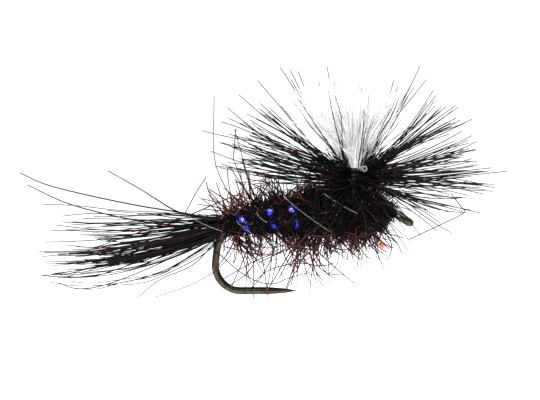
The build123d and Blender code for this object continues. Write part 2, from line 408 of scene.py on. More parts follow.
def pearl_film() -> Material:
    """Make clear film with a thin pearl coat that turns from green to pink along a strand.

    Returns:
        The material.
    """
    nodes = Nodes("pearl_flash")
    tints = ((0.25, (0.11, 0.18, 0.17)), (0.5, (0.25, 0.27, 0.28)), (0.75, (0.22, 0.14, 0.18)))
    nodes.set(
        Base_Color=nodes.ramp(nodes.noise(2.2, 2.0), tints),
        Roughness=0.25, Metallic=0.2, Coat_Weight=0.3, Coat_Roughness=0.10, Alpha=0.75,
    )
    return nodes.material


def quill_horn() -> Material:
    """Make the pale, slightly cloudy horn of a feather's stem.

    Returns:
        The material.
    """
    nodes = Nodes("pale_quill_horn")
    colour = nodes.ramp(nodes.noise(6.0), ((0.3, (0.08, 0.08, 0.08)), (0.7, (0.17, 0.17, 0.16))))
    nodes.set(Base_Color=colour, Roughness=0.28, Coat_Weight=0.4)
    return nodes.material


def head_varnish() -> Material:
    """Make clear head varnish over black thread.

    Returns:
        The material.
    """
    nodes = Nodes("clear_head_varnish")
    colour = nodes.ramp(nodes.noise(5.0), ((0.4, (0.006, 0.005, 0.005)), (0.8, (0.03, 0.025, 0.022))))
    nodes.set(Base_Color=colour, Roughness=0.08, Coat_Weight=1.0, Coat_Roughness=0.03)
    return nodes.material


def pale_card() -> Material:
    """Make plain pale card.

    Returns:
        The material.
    """
    nodes = Nodes("pale_card")
    nodes.set(Base_Color=(0.93, 0.93, 0.94), Roughness=0.9, Specular_IOR_Level=0.1)
    return nodes.material


# ---------------------------------------------------------------- mesh tools


ANY_WAY = (0.31, 0.55, 0.77)        # a way that no fibre starts off along
LEAST_BEND = 0.05       # radians


def deselect() -> None:
    """Leave nothing selected, in object mode."""
    if bpy.context.object and bpy.context.object.mode != "OBJECT":
        bpy.ops.object.mode_set(mode="OBJECT")
    bpy.ops.object.select_all(action="DESELECT")


def choose(piece: Piece) -> None:
    """Leave one piece selected and active, in object mode.

    Args:
        piece: The piece.
    """
    deselect()
    piece.select_set(True)
    bpy.context.view_layer.objects.active = piece


def settle(piece: Piece) -> Piece:
    """Put a piece's place, turn and scale into its mesh.

    Args:
        piece: The piece, which ends at the origin.

    Returns:
        The same piece.
    """
    choose(piece)
    bpy.ops.object.transform_apply(location=True, rotation=True, scale=True)
    return piece


@contextmanager
def editing() -> Iterator[None]:
    """Edit the active piece's mesh, with all of it selected at first.

    Yields:
        Nothing, while the mesh is in edit mode.
    """
    bpy.ops.object.mode_set(mode="EDIT")
    bpy.ops.mesh.select_all(action="SELECT")
    yield
    bpy.ops.object.mode_set(mode="OBJECT")


def cut_across(way: Vector, places: Iterable[float], threshold: float) -> None:
    """Cut the edited mesh with planes.

    Args:
        way: The way that every plane faces.
        places: How far along the way each plane is.
        threshold: Distance at which a vertex counts as being on a plane.
    """
    for place in places:
        bpy.ops.mesh.select_all(action="SELECT")
        bpy.ops.mesh.bisect(plane_co=way * place, plane_no=way, threshold=threshold)


def mark(mesh: bpy.types.Mesh, fact: Reads, values: Array) -> None:
    """Store one fact at every vertex of a mesh."""
    layer = mesh.attributes.new(fact.value, "FLOAT", "POINT")
    layer.data.foreach_set("value", values.astype(np.float32))


def dress(piece: Piece, material: Material, slot: str, *nodes: str) -> None:
    """Give a finished piece its material and body, and hide the CAD nodes that it stands for.

    Args:
        piece: The finished object.
        material: Its material.
        slot: The record's material slot; not used.
        *nodes: The CAD nodes that the piece stands for.
    """
    piece.data.materials.clear()
    piece.data.materials.append(material)
    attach(piece, BODY)
    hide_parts(*nodes)
    log.info("%s: %d faces", piece.name, len(piece.data.polygons))


def dress_fibres(piece: Piece, finish: Finish, node: str) -> None:
    """Dress a piece that is made of fibres as one CAD node."""
    dress(piece, finish.value.material(), finish.value.slot, node)


def unit(rows: Array) -> Array:
    """Return the rows scaled to length one."""
    return rows / np.maximum(np.linalg.norm(rows, axis=-1, keepdims=True), 1e-12)


def square_to(rows: Array, axis: Array) -> Array:
    """Return unit rows at right angles to an axis, each as close as can be to where it was."""
    return unit(rows - np.sum(rows * axis, axis=-1, keepdims=True) * axis)


@dataclass
class Template:
    """One short straight fibre, modelled once, that is laid along every fibre's path."""

    name: str
    sides: int = 3
    rings: int = 8
    flat: float = 1.0
    places: Array = field(init=False)
    faces: list = field(init=False)

    def __post_init__(self) -> None:
        """Model the fibre: a prism from z 0 to 1, cut into equal lengths, then read and removed."""
        deselect()
        bpy.ops.mesh.primitive_cylinder_add(vertices=self.sides, radius=1, depth=1, location=(0, 0, 0.5))
        prism = bpy.context.object
        with editing():
            cut_across(Vector((0, 0, 1)), np.arange(1, self.rings) / self.rings, 1e-4)
            bpy.ops.mesh.select_all(action="SELECT")
            bpy.ops.transform.resize(value=(1, self.flat, 1), center_override=(0, 0, 0))
        bpy.ops.object.transform_apply(location=True, rotation=True, scale=True)
        self.places = np.array([tuple(v.co) for v in prism.data.vertices])
        self.faces = [tuple(p.vertices) for p in prism.data.polygons]
        bpy.data.objects.remove(prism, do_unlink=True)

    def lay(self, name: str, paths: Array, radii: Array, shades: Array, across: Array | None = None) -> Piece:
        """Lay one copy of the fibre along each path, as one piece.

        Args:
            name: The piece's name.
            paths: Points of each fibre, fibres by rings + 1 by 3, in millimetres.
            radii: Radius at each point, fibres by rings + 1.
            shades: One number from 0 to 1 for each fibre.
            across: The way that the fibre's own X faces at each point, if it matters.

        Returns:
            The new object.
        """
        count, stations = paths.shape[:2]
        tangent = unit(np.gradient(paths, axis=1))
        side = np.zeros_like(paths)
        side[:, 0] = unit(np.cross(tangent[:, 0], ANY_WAY))
        for k in range(1, stations):
            side[:, k] = square_to(side[:, k - 1], tangent[:, k])
        if across is not None:
            side = square_to(across, tangent)
        other = np.cross(tangent, side)
        ring = np.rint(self.places[:, 2] * self.rings).astype(int)
        spoke = side[:, ring] * self.places[:, 0, None] + other[:, ring] * self.places[:, 1, None]
        verts = paths[:, ring] + radii[:, ring, None] * spoke
        size = len(self.places)
        faces = [tuple(i + n * size for i in face) for n in range(count) for face in self.faces]
        mesh = bpy.data.meshes.new(name)
        mesh.from_pydata((verts.reshape(-1, 3) * MM).tolist(), [], faces)
        mark(mesh, Reads.ALONG, np.tile(ring / self.rings, count))
        mark(mesh, Reads.SHADE, np.repeat(shades, size))
        mesh.polygons.foreach_set("use_smooth", [len(face) == 4 for face in faces])
        mesh.update()
        piece = bpy.data.objects.new(name, mesh)
        bpy.context.scene.collection.objects.link(piece)
        return piece


def taper(count: int, rings: int, root_r: object, tip_r: float, power: float = 1.4) -> Array:
    """Return radii that fall from root to tip.

    Args:
        count: How many fibres.
        rings: Lengths in a fibre.
        root_r: Radius at the root, one number or one for each fibre.
        tip_r: Radius at the tip.
        power: Above 1 keeps the root's thickness for longer.

    Returns:
        Radii, fibres by rings + 1.
    """
    along = np.linspace(0, 1, rings + 1) ** power
    root = np.broadcast_to(np.asarray(root_r, float), (count,))[:, None]
    return root + (tip_r - root) * along[None, :]


def arcs(roots: Array, ways: Array, bows: Array, rings: int) -> Array:
    """Return paths from roots along ways, whose tips end up a bow away from the straight line."""
    t = np.linspace(0, 1, rings + 1)[None, :, None]
    return roots[:, None] + ways[:, None] * t + bows[:, None] * t * t


def curls(roots: Array, ways: Array, bends: Array, dice: Dice, rings: int) -> Array:
    """Return paths that each follow part of a circle, in a plane of its own.

    Args:
        roots: First points, fibres by 3.
        ways: Direction times length, fibres by 3.
        bends: Angle that each fibre turns through, in radians.
        dice: The source of random numbers.
        rings: Lengths in a fibre.

    Returns:
        Points, fibres by rings + 1 by 3.
    """
    first = unit(ways)
    side = unit(np.cross(first, dice.normal(size=first.shape)))
    bends = np.where(np.abs(bends) < LEAST_BEND, LEAST_BEND, bends)
    turn = bends[:, None] * np.linspace(0, 1, rings + 1)[None, :]
    reach = (np.linalg.norm(ways, axis=1) / bends)[:, None]
    forward = (reach * np.sin(turn))[..., None] * first[:, None]
    return roots[:, None] + forward + (reach * (1 - np.cos(turn)))[..., None] * side[:, None]


def waves(paths: Array, size: object, turns: object, dice: Dice) -> Array:
    """Crimp fibres with a wave that grows from nothing at the root.

    Args:
        paths: Points, fibres by rings + 1 by 3.
        size: Height of the wave, one number or one for each fibre.
        turns: Waves along a fibre, one number or one for each fibre.
        dice: The source of random numbers.

    Returns:
        The crimped points.
    """
    count, stations = paths.shape[:2]
    t = np.linspace(0, 1, stations)[None, :]
    one = unit(dice.normal(size=(count, 3)))[:, None]
    other = unit(dice.normal(size=(count, 3)))[:, None]
    turn = FULL_TURN * np.broadcast_to(np.asarray(turns, float), (count,))[:, None] * t
    start = dice.uniform(0, FULL_TURN, (count, 1))
    size = np.broadcast_to(np.asarray(size, float), (count,))[:, None] * np.minimum(1, 2 * t)
    return paths + (size * np.sin(turn + start))[..., None] * one + (size * np.cos(turn))[..., None] * other


def radials(turn: Array) -> Array:
    """Return unit rows that stand out from the fly's length at angles from its far side."""
    return np.stack([np.zeros(len(turn)), np.cos(turn), np.sin(turn)], 1)


# ---------------------------------------------------------------- sub-assemblies


@dataclass
class Hook:
    """The bronzed wire: eye, neck, shank, bend, spear and the long barbless point."""

    sides: int = 24
    eye_wire_r: float = 0.24
    bend: tuple = ((1.50, 60.0), (3.00, 18.0))      # radius and degrees of each arc
    bend_straight: float = 0.76
    bend_last_r: float = 1.70
    spear_drop: float = 6.0     # degrees
    spear_full: float = 1.75
    point: tuple = ((0.225, 0.35), (0.17, 0.70), (0.095, 0.50), (0.012, 0.40))      # end radius, length
    degrees_a_step: float = 5.0
    lengths: tuple = (12, 2, 3)     # in the shank, the bend's straight and the spear
    crease: float = math.radians(50)        # edges sharper than this stay sharp

    def wire(self) -> Piece:
        """Model the wire from the neck to the point.

        Returns:
            The wire.
        """
        way = Vector((-math.cos(EYE_TILT), 0, math.sin(EYE_TILT)))
        here = way * NECK_START
        deselect()
        bpy.ops.mesh.primitive_circle_add(
            vertices=self.sides, radius=WIRE_R * MM, fill_type="NGON", location=here * MM,
            rotation=way.to_track_quat("Z", "Y").to_euler(),
        )
        wire = settle(bpy.context.object)
        with editing():
            shank_steps, bend_steps, spear_steps = self.lengths
            here, way = self.turn(here, way, NECK_R, math.degrees(EYE_TILT))
            here = self.run(here, way, abs(BEND_X - here.x), shank_steps)
            for radius, degrees in self.bend:
                here, way = self.turn(here, way, radius, degrees)
            here = self.run(here, way, self.bend_straight, bend_steps)
            turned = sum(degrees for _, degrees in self.bend)
            here, way = self.turn(here, way, self.bend_last_r, 180 - self.spear_drop - turned)
            here = self.run(here, way, self.spear_full, spear_steps)
            radius = WIRE_R
            for end_r, length in self.point:
                here = self.run(here, way, length, 1)
                bpy.ops.transform.resize(value=(end_r / radius,) * 3, center_override=here * MM)
                radius = end_r
        return wire

    def turn(self, here: Vector, way: Vector, radius: float, degrees: float) -> tuple:
        """Bend the wire to the left of its way, seen from the near side.

        Args:
            here: The end of the wire, in millimetres.
            way: The wire's direction there.
            radius: Radius of the bend.
            degrees: Angle of the bend.

        Returns:
            The new end and direction.
        """
        centre = here + Vector((-way.z, 0, way.x)) * radius
        angle = math.radians(degrees)
        steps = max(4, round(degrees / self.degrees_a_step))
        bpy.ops.mesh.spin(steps=steps, angle=angle, center=centre * MM, axis=(0, 1, 0), dupli=False)
        swing = Matrix.Rotation(angle, 3, Vector((0, -1, 0)))
        return centre + swing @ (here - centre), swing @ way

    def run(self, here: Vector, way: Vector, length: float, steps: int) -> Vector:
        """Draw the wire out straight.

        Args:
            here: The end of the wire, in millimetres.
            way: The wire's direction there.
            length: How far to draw it.
            steps: In how many equal lengths.

        Returns:
            The new end.
        """
        for _ in range(steps):
            bpy.ops.mesh.extrude_region_move(TRANSFORM_OT_translate={"value": way * (length / steps * MM)})
        return here + way * length

    def eye(self) -> Piece:
        """Model the ring, with its plane along the neck.

        Returns:
            The ring.
        """
        deselect()
        bpy.ops.mesh.primitive_torus_add(
            major_radius=(EYE_BORE_R + self.eye_wire_r) * MM, minor_radius=self.eye_wire_r * MM,
            major_segments=56, minor_segments=20, location=(0, 0, 0), rotation=(0, EYE_TILT, 0),
        )
        return settle(bpy.context.object)

    def build(self) -> None:
        """Join wire and ring into one skin and dress it."""
        wire = self.wire()
        ring = self.eye()
        union = wire.modifiers.new("weld", "BOOLEAN")
        union.operation = "UNION"
        union.object = ring
        union.solver = "EXACT"
        choose(wire)
        bpy.ops.object.modifier_apply(modifier="weld")
        bpy.data.objects.remove(ring, do_unlink=True)
        with editing():
            bpy.ops.mesh.remove_doubles(threshold=0.001 * MM)
            bpy.ops.mesh.normals_make_consistent(inside=False)
        bpy.ops.object.shade_smooth_by_angle(angle=self.crease)
        wire.name = "hook_wire"
        dress(wire, bronzed_steel(), "bronzed_wire", "hook")


@dataclass
class Tail:
    """A bundle of stiff black hair that parts into locks and lifts again at its tips."""

    root: tuple = (-11.3, 0.0, 0.80)
    root_r: float = 0.46
    hair_r: float = 0.040
    tip_r: float = 0.028
    locks: tuple = (
        # where the lock's tip is (back, across, up), rise at the tip, hairs in it
        (-23.4, 0.3, 3.35, 0.22, 2), (-23.2, -0.8, 2.75, 0.10, 2), (-22.7, 1.2, 2.55, 0.12, 2),
        (-22.3, -0.4, 2.10, 0.10, 2), (-21.7, 0.9, 1.80, 0.15, 3), (-24.0, 0.2, 1.00, 0.12, 8),
        (-23.1, -1.0, 0.75, 0.16, 6), (-23.8, 0.5, 0.12, 0.10, 9), (-24.1, -0.6, -0.10, 0.06, 7),
        (-22.6, 0.7, -0.25, 0.10, 16), (-23.5, 0.0, -0.50, 0.14, 18), (-22.9, 0.9, -0.80, 0.10, 12),
        (-24.4, -0.5, -1.25, 0.02, 7), (-23.7, 0.5, -1.48, 0.12, 4), (-23.0, -0.2, -1.85, 0.34, 2),
        (-21.9, 0.4, -2.25, 0.20, 2),
    )
    scatter: tuple = (0.40, 0.25, 0.08)     # of a lock's tips
    loose: int = 30         # hairs between the locks
    loose_tips: tuple = ((-23.8, -19.5), (-2.2, 2.2), (-2.0, 2.7))
    rings: int = 14

    def build(self) -> None:
        """Grow each lock along a curve of its own, then the loose hairs between them."""
        dice = np.random.default_rng(31)
        table = np.repeat(np.array(self.locks), [lock[4] for lock in self.locks], axis=0)
        count = len(table)
        tips = table[:, :3] + dice.normal(0, 1, (count, 3)) * self.scatter
        cut = np.minimum(1.0, dice.uniform(0.50, 1.12, count))
        ends = table[:, 3] + dice.normal(0, 0.03, count)
        stray = np.stack([dice.uniform(*span, self.loose) for span in self.loose_tips], 1)
        tips = np.concatenate([tips, stray])
        cut = np.concatenate([cut, np.ones(self.loose)])
        ends = np.concatenate([ends, 0.12 + 0.03 * stray[:, 2] + dice.normal(0, 0.08, self.loose)])
        count = len(tips)
        turn = np.arctan2(tips[:, 2] + 0.2, tips[:, 1]) + dice.normal(0, 0.45, count)
        out = self.root_r * np.sqrt(dice.uniform(0.1, 1, count))
        along = dice.uniform(-0.2, 0.4, count)
        roots = np.array(self.root) + np.stack([along, out * np.cos(turn), out * np.sin(turn)], 1)
        paths = self.paths(roots, tips, ends, cut)
        paths = waves(paths, dice.uniform(0.03, 0.12, count), dice.uniform(0.7, 2.4, count), dice)
        radii = taper(count, self.rings, self.hair_r * dice.uniform(0.75, 1.2, count), self.tip_r, 1.6)
        piece = Template("hair", 3, self.rings).lay("tail_hair", paths, radii, dice.uniform(0, 1, count))
        dress_fibres(piece, Finish.TAIL, "tail_fibres")

    def paths(self, roots: Array, tips: Array, ends: Array, cut: Array) -> Array:
        """Return curves from roots towards tips whose rise changes evenly.

        Args:
            roots: First points, hairs by 3.
            tips: Where a full-length hair would end, hairs by 3.
            ends: Rise at the tip, for each millimetre back.
            cut: Share of the full length that each hair has.

        Returns:
            Points, hairs by rings + 1 by 3.
        """
        t = np.linspace(0, 1, self.rings + 1)[None, :] * cut[:, None]
        back = (roots[:, 0] - tips[:, 0])[:, None]
        slope = (tips[:, 2] - roots[:, 2])[:, None] / back
        start = 2 * slope - ends[:, None]
        rise = start * back * t + (ends[:, None] - start) * back * t * t / 2
        y = roots[:, None, 1] + (tips[:, 1] - roots[:, 1])[:, None] * t ** 1.2
        return np.stack([roots[:, None, 0] - back * t, y, roots[:, None, 2] + rise], 2)


@dataclass
class FurBody:
    """A length of dubbed body: a dark core in soft ropes, fibres wound round it, and spikes."""

    name: str
    node: str
    profile: tuple          # place along the fly, height of the body's middle, radius
    wound: int              # fibres in the coat
    spikes: int
    seed: int
    rope: float = 1.30      # length of one turn of the dubbing rope
    rope_start: float = 0.0     # where its groove is at the top
    bulge: float = 0.10
    bare: float = 0.0       # length at the front without spikes
    rings: int = 7
    ring_step: float = 0.16     # between the core's rings
    core_share: float = 0.84    # of the body's radius
    coat_share: float = 0.90
    spike_share: float = 0.82

    def middle(self, x: Array) -> Array:
        """Return the height of the body's middle at places along the fly."""
        return np.interp(x, [p[0] for p in self.profile], [p[1] for p in self.profile])

    def radius(self, x: Array, turn: Array) -> Array:
        """Work out the body's radius, which swells and shrinks in soft ropes.

        Args:
            x: Places along the fly.
            turn: Angles round it from its far side, in radians.

        Returns:
            The radius at each place.
        """
        plain = np.interp(x, [p[0] for p in self.profile], [p[2] for p in self.profile])
        groove = turn - math.pi / 2 - FULL_TURN * (x - self.rope_start) / self.rope
        return plain * (1 - self.bulge * np.cos(groove))

    def around(self, x: Array, turn: Array, reach: Array) -> Array:
        """Return points at a reach from the body's middle."""
        return np.stack([x, reach * np.cos(turn), self.middle(x) + reach * np.sin(turn)], -1)

    def core(self) -> Piece:
        """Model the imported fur: a drum, cut into rings that are drawn out to the ropes' shape.

        Returns:
            The core.
        """
        first = self.profile[0][0]
        last = self.profile[-1][0]
        deselect()
        bpy.ops.mesh.primitive_cylinder_add(
            vertices=36, radius=MM, depth=(last - first) * MM, location=((first + last) / 2 * MM, 0, 0),
            rotation=(0, math.pi / 2, 0), end_fill_type="TRIFAN",
        )
        core = settle(bpy.context.object)
        with editing():
            cuts = np.arange(first + self.ring_step, last - 0.05, self.ring_step)
            cut_across(Vector((1, 0, 0)), cuts * MM, 1e-7)
        dice = np.random.default_rng(self.seed)
        places = np.array([tuple(v.co) for v in core.data.vertices]) / MM
        x = places[:, 0]
        turn = np.arctan2(places[:, 2], places[:, 1])
        share = np.hypot(places[:, 1], places[:, 2]) * self.core_share * (1 + 0.04 * dice.normal(size=len(x)))
        shaped = self.around(x, turn, self.radius(x, turn) * share)
        core.data.vertices.foreach_set("co", (shaped * MM).ravel())
        core.name = self.name + "_core"
        mark(core.data, Reads.ALONG, np.full(len(x), 0.0))
        mark(core.data, Reads.SHADE, np.full(len(x), 0.2))
        choose(core)
        bpy.ops.object.shade_smooth()
        return core

    def coat(self) -> Piece:
        """Wind the coat: each fibre goes part of the way round the body and its end lifts off.

        Returns:
            The coat.
        """
        dice = np.random.default_rng(self.seed + 1)
        count = self.wound
        start = dice.uniform(0, FULL_TURN, count)
        sweep = dice.choice((-1, 1), count) * dice.uniform(0.4, 1.5, count)
        x0 = dice.uniform(self.profile[0][0] + 0.05, self.profile[-1][0] - 0.05, count)
        skew = dice.normal(0.10, 0.32, count)
        lift = np.abs(dice.normal(0, 0.30, count)) + 0.03
        t = np.linspace(0, 1, self.rings + 1)[None, :]
        x = x0[:, None] + skew[:, None] * t
        turn = start[:, None] + sweep[:, None] * t
        reach = self.radius(x, turn) * self.coat_share + lift[:, None] * t ** 2
        paths = waves(self.around(x, turn, reach), 0.03, dice.uniform(0.5, 1.6, count), dice)
        radii = taper(count, self.rings, dice.uniform(0.030, 0.050, count), 0.016)
        return Template("fur", 3, self.rings).lay(self.name, paths, radii, dice.uniform(0, 1, count))

    def standing(self) -> Piece:
        """Grow the spikes: short bent hairs that break up the outline.

        Returns:
            The spikes, as one piece.
        """
        dice = np.random.default_rng(self.seed + 2)
        count = self.spikes
        x = dice.uniform(self.profile[0][0], self.profile[-1][0] - self.bare, count)
        turn = dice.uniform(0, FULL_TURN, count)
        roots = self.around(x, turn, self.radius(x, turn) * self.spike_share)
        length = dice.gamma(4.0, 0.27, count) + 0.35
        way = unit(radials(turn) + dice.normal(0, 0.75, (count, 3)))
        paths = curls(roots, way * length[:, None], dice.normal(0, 1.2, count), dice, self.rings)
        radii = taper(count, self.rings, dice.uniform(0.032, 0.050, count), 0.024)
        shades = dice.uniform(0, 1, count) ** 0.8
        return Template("spike", 3, self.rings).lay(self.name + "_spikes", paths, radii, shades)

    def build(self) -> None:
        """Make the core, the coat and the spikes, and dress them."""
        for piece in (self.core(), self.coat(), self.standing()):
            dress_fibres(piece, Finish.FUR, self.node)


@dataclass
class Rib:
    """Flat tinsel in open turns, which dips in and out of the fur as it goes round."""

    body: FurBody
    course: tuple = (
        # turns wound, place along the fly, how proud of the fur it stands
        (0.00, -10.85, 1.00), (0.17, -10.56, 1.16), (0.34, -10.25, 0.97), (1.17, -8.66, 0.90),
        (1.34, -8.36, 0.89), (2.17, -7.14, 0.95), (2.36, -6.85, 0.91),
    )
    dip: float = 0.15
    dips: int = 6           # in a turn
    dips_start: float = math.radians(208)
    half_width: float = 0.27
    steps: int = 168

    def build(self) -> None:
        """Lay the tinsel on the body and dress it."""
        turns, places, proud = np.array(self.course).T
        wound = np.linspace(turns[0], turns[-1], self.steps + 1)
        x = np.interp(wound, turns, places)
        turn = math.pi / 2 + FULL_TURN * wound
        depth = np.interp(wound, turns, proud) + self.dip * np.cos(self.dips * (turn + self.dips_start))
        depth -= self.dip * np.sin(turn).clip(0, 1) ** 4        # deeper along the back
        path = self.body.around(x, turn, self.body.radius(x, turn) * depth)[None]
        across = np.tile((1.0, 0.0, 0.0), (1, self.steps + 1, 1))
        radii = np.full((1, self.steps + 1), self.half_width)
        flat = Template("tinsel", 4, self.steps, 0.10)
        piece = flat.lay("rib_tinsel_turns", path, radii, np.array([0.5]), across)
        dress(piece, blue_tinsel(), "blue_tinsel", "rib_tinsel")


@dataclass
class GuardHairs:
    """Long claret hairs that spring out of the fur and curl."""

    name: str
    node: str
    # place along (from, to), middle's height, radius, arc (from, to), hairs, length (from, to), bend, lean
    bunches: tuple
    seed: int
    rings: int = 10
    root_share: float = 0.8     # of the body's radius

    def build(self) -> None:
        """Grow every bunch and dress them as one piece."""
        dice = np.random.default_rng(self.seed)
        paths, thick = [], []
        for x_range, middle, body_r, arc, count, reach, bend, lean in self.bunches:
            x = dice.uniform(*x_range, count)
            radial = radials(np.radians(dice.uniform(*arc, count)))
            roots = radial * self.root_share * body_r
            roots[:, 0] += x
            roots[:, 2] += middle
            length = dice.uniform(*reach, count)
            way = unit(radial + np.array((lean, 0, 0)) + dice.normal(0, 0.45, (count, 3)))
            curled = curls(roots, way * length[:, None], dice.normal(0, bend, count), dice, self.rings)
            paths.append(waves(curled, 0.04, dice.uniform(0.5, 1.5, count), dice))
            thick.append(dice.uniform(0.042, 0.060, count))
        paths, thick = np.concatenate(paths), np.concatenate(thick)
        radii = taper(len(paths), self.rings, thick, 0.037, 1.6)
        template = Template("guard", 3, self.rings)
        piece = template.lay(self.name, paths, radii, dice.uniform(0, 1, len(paths)))
        dress_fibres(piece, Finish.GUARD, self.node)


@dataclass
class Strays:
    """The few long hairs that stand out of the silhouette, each one where it grew."""

    name: str
    runs: tuple             # radius, then places along the hair
    finish: Finish
    node: str
    rings: int = 16
    swell: float = 1.40     # times each hair's radius

    def build(self) -> None:
        """Lay each hair along a smooth line through its places."""
        dice = np.random.default_rng(7)
        count = len(self.runs)
        paths = np.array([self.line(np.array(places, float)) for _, *places in self.runs])
        radii = taper(count, self.rings, self.swell * np.array([run[0] for run in self.runs]), 0.034, 1.6)
        template = Template("stray", 4, self.rings)
        piece = template.lay(self.name, paths, radii, dice.uniform(0.35, 0.9, count))
        dress_fibres(piece, self.finish, self.node)

    def line(self, places: Array) -> Array:
        """Draw a smooth Catmull-Rom line through places.

        Args:
            places: Points that the hair passes through.

        Returns:
            rings + 1 points along the line.
        """
        ends = np.concatenate([[2 * places[0] - places[1]], places, [2 * places[-1] - places[-2]]])
        at = np.linspace(0, len(places) - 1 - 1e-9, self.rings + 1)
        k = at.astype(int)
        t = (at - k)[:, None]
        a, b, c, d = ends[k], ends[k + 1], ends[k + 2], ends[k + 3]
        cubic = (3 * b - a - 3 * c + d) * t ** 3
        return 0.5 * (2 * b + (c - a) * t + (2 * a - 5 * b + 4 * c - d) * t ** 2 + cubic)


@dataclass
class Hackle:
    """The feather: four turns of quill round the collar, each with its ring of barbs."""

    turns: int = 4
    barbs: int = 30
    length: tuple = (6.4, 8.4)
    barb_r: float = 0.043
    tip_r: float = 0.028
    rise: tuple = ((-14.0, 5.0), (-4.0, 14.0), (2.0, 26.0), (8.0, 42.0))    # degrees, for each turn
    back_rise: tuple = (2.0, 24.0)      # the least and the most behind the post
    hanging: int = 30       # barbs of the lowest turn that droop beside the thorax
    hanging_rise: tuple = (-48, -8)
    webs: int = 130         # short soft barbs at each turn's root
    web_length: tuple = (0.9, 2.5)
    web_rise: tuple = ((-75, 10), (-50, 25), (-25, 50), (0, 72))
    parted: tuple = (2, 3)      # the turns that leave a gap for the cut stem
    parting: float = 24.0       # half the gap's angle
    near_side: float = 270.0
    quill_r: tuple = (0.11, 0.08)
    quill_steps: int = 40
    slant: float = 0.8      # share of the pitch that a turn climbs
    rings: int = 10
    locks: tuple = (
        # degrees above the post's level (past 90 is behind the post), across, length, barbs
        (76, 0.10, 6.8, 2), (70, 0.10, 7.0, 4), (65, -0.15, 7.0, 3), (60, 0.20, 7.7, 4),
        (51, -0.10, 7.8, 4), (45, 0.25, 7.7, 4), (39, 0.00, 7.8, 5), (30, -0.20, 7.7, 5),
        (23, 0.20, 7.7, 5), (17, -0.30, 7.6, 5), (13, 0.25, 7.5, 6), (8, -0.10, 7.6, 6),
        (5, 0.20, 8.4, 5), (4, -0.35, 8.7, 5), (-1, 0.10, 9.5, 4), (-7, -0.20, 8.7, 5),
        (-10, 0.25, 8.1, 4), (-17, -0.40, 7.3, 5), (-26, -0.55, 6.6, 4), (-36, -0.60, 6.2, 4),
        (83, -0.30, 6.6, 2), (89, 0.10, 6.3, 2), (96, -0.35, 6.6, 2), (103, 0.05, 6.6, 2),
        (108, -0.30, 6.8, 3), (114, 0.15, 7.0, 3), (120, 0.10, 8.2, 3), (127, -0.20, 7.4, 3),
        (136, 0.20, 7.7, 3), (140, -0.10, 7.9, 3), (145, 0.20, 8.1, 4), (152, -0.20, 8.2, 4),
        (153, 0.15, 9.5, 2), (158, -0.25, 7.9, 5), (166, 0.20, 8.2, 6), (166, -0.10, 9.7, 2),
        (170, 0.30, 8.8, 5), (175, -0.15, 8.1, 5), (179, 0.25, 7.2, 4),
    )

    def build(self) -> None:
        """Grow every turn's barbs: an even ring, its share of the locks, and the short webs."""
        dice = np.random.default_rng(57)
        template = Template("barb", 3, self.rings)
        for number in range(self.turns):
            barbs = [self.spread(number, dice)]
            for lock in self.locks[number::self.turns]:
                barbs.append(self.lock(*lock, dice))
            barbs.append(self.web(number, dice))
            barbs = np.concatenate(barbs, axis=1)
            if number in self.parted:
                barbs = barbs[:, np.abs(np.degrees(barbs[0]) % 360 - self.near_side) > self.parting]
            self.wind(number, barbs, template, dice)

    def spread(self, number: int, dice: Dice) -> Array:
        """Return one turn's even ring of barbs, which stand steepest ahead and behind.

        Args:
            number: Which turn, from 0 at the bottom.
            dice: The source of random numbers.

        Returns:
            Three rows: angle round the post and rise above its level, in radians, and length.
        """
        turn = (np.arange(self.barbs) + dice.uniform(-0.4, 0.4, self.barbs)) * FULL_TURN / self.barbs
        low, high = self.rise[number]
        back_low, back_high = self.back_rise
        least = np.where(np.cos(turn) < 0, back_low, low)
        most = np.where(np.cos(turn) < 0, min(high, back_high), high)
        steep = 0.25 + 0.75 * np.abs(np.cos(turn))
        rise = least + (most - least) * dice.uniform(0, 1, self.barbs) * steep
        if number == 0:
            side = math.pi / 2 * dice.choice((-1, 1), self.hanging)
            turn = np.append(turn, side + dice.normal(0, 0.45, self.hanging))
            rise = np.append(rise, dice.uniform(*self.hanging_rise, self.hanging))
        return np.stack([turn, np.radians(rise), dice.uniform(*self.length, len(turn))])

    def lock(self, level: float, across: float, reach: float, count: int, dice: Dice) -> Array:
        """Make the barbs of one lock.

        Args:
            level: Degrees above the post's level, past 90 behind the post.
            across: How far to the far side the lock lies, as a slope.
            reach: Its length.
            count: Its barbs.
            dice: The source of random numbers.

        Returns:
            Rows as for spread.
        """
        lean = math.radians(level)
        turn = np.arctan2(across, math.cos(lean)) + dice.normal(0, 0.12, count)
        rise = math.asin(math.sin(lean)) + dice.normal(0, 0.07, count)
        return np.stack([turn, rise, reach * dice.uniform(0.80, 1.04, count)])

    def web(self, number: int, dice: Dice) -> Array:
        """Make one turn's short barbs.

        Args:
            number: Which turn, from 0 at the bottom.
            dice: The source of random numbers.

        Returns:
            Rows as for spread.
        """
        turn = dice.uniform(0, FULL_TURN, self.webs)
        rise = np.radians(dice.uniform(*self.web_rise[number], self.webs))
        return np.stack([turn, rise, dice.uniform(*self.web_length, self.webs)])

    def climb(self, number: int, share: object) -> object:
        """Return the height of one turn at a share of its way round."""
        return HACKLE_FIRST + number * HACKLE_PITCH + HACKLE_PITCH * (share - 0.5) * self.slant

